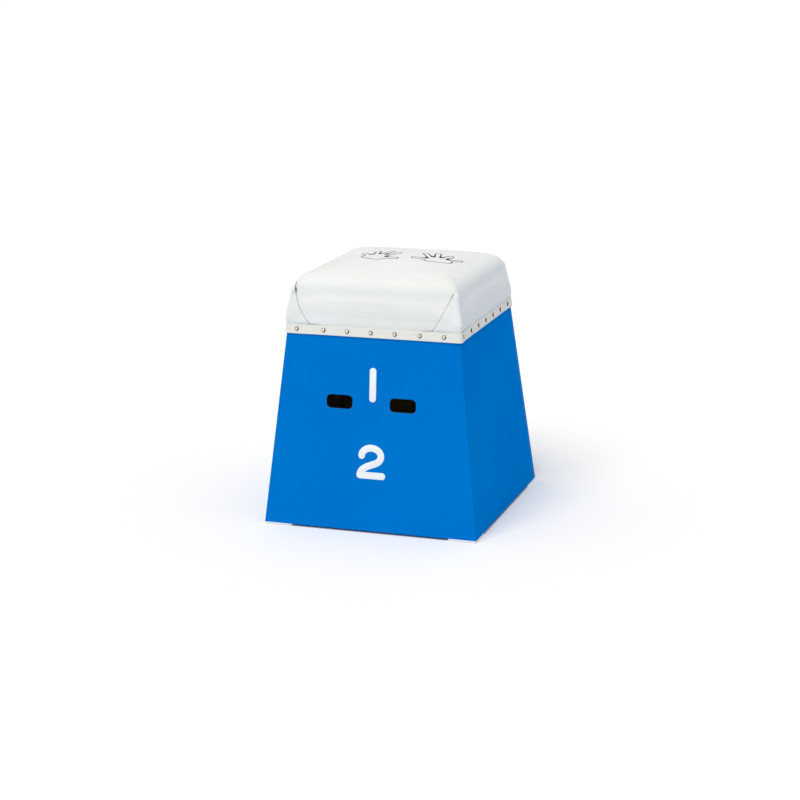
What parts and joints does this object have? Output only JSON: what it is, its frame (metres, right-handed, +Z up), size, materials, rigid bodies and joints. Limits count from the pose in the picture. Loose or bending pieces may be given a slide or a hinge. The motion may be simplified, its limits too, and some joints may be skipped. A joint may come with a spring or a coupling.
{
  "type": "vaulting box",
  "caption": "Free-standing vaulting box with leaning painted board sides on foot pads, finger holes at front and rear, and a crowned canvas pad tacked down through an edge tape.",
  "frame": {"origin": "on the floor, under the middle of the box", "axes": "+Z up, -Y towards the face with the numbers, +X to that face's right"},
  "size_m": [0.5, 0.5, 0.587],
  "materials": {
    "paint": "satin",
    "timber": "matte",
    "canvas": "matte",
    "webbing": "matte",
    "foam": "matte",
    "foot_rubber": "matte",
    "brass": "polished",
    "steel": "satin"
  },
  "bodies": {
    "root": {"front_panel": "paint", "front_top_rail": "timber", "front_left_post": "timber", "front_left_foot": "foot_rubber", "front_left_foot_screw": "steel", "front_left_deck_screw": "steel", "front_tack_1": "brass", "front_tack_2": "brass", "front_tack_3": "brass", "front_tack_4": "brass", "front_tack_5": "brass", "front_tack_6": "brass", "front_tack_7": "brass", "right_panel": "paint", "right_top_rail": "timber", "front_right_post": "timber", "front_right_foot": "foot_rubber", "front_right_foot_screw": "steel", "front_right_deck_screw": "steel", "right_tack_1": "brass", "right_tack_2": "brass", "right_tack_3": "brass", "right_tack_4": "brass", "right_tack_5": "brass", "right_tack_6": "brass", "right_tack_7": "brass", "rear_panel": "paint", "rear_top_rail": "timber", "rear_right_post": "timber", "rear_right_foot": "foot_rubber", "rear_right_foot_screw": "steel", "rear_right_deck_screw": "steel", "rear_tack_1": "brass", "rear_tack_2": "brass", "rear_tack_3": "brass", "rear_tack_4": "brass", "rear_tack_5": "brass", "rear_tack_6": "brass", "rear_tack_7": "brass", "left_panel": "paint", "left_top_rail": "timber", "rear_left_post": "timber", "rear_left_foot": "foot_rubber", "rear_left_foot_screw": "steel", "rear_left_deck_screw": "steel", "left_tack_1": "brass", "left_tack_2": "brass", "left_tack_3": "brass", "left_tack_4": "brass", "left_tack_5": "brass", "left_tack_6": "brass", "left_tack_7": "brass", "deck_board": "timber", "foam_pad": "foam", "canvas_cover": "canvas", "edge_tape": "webbing"}
  },
  "joints": []
}
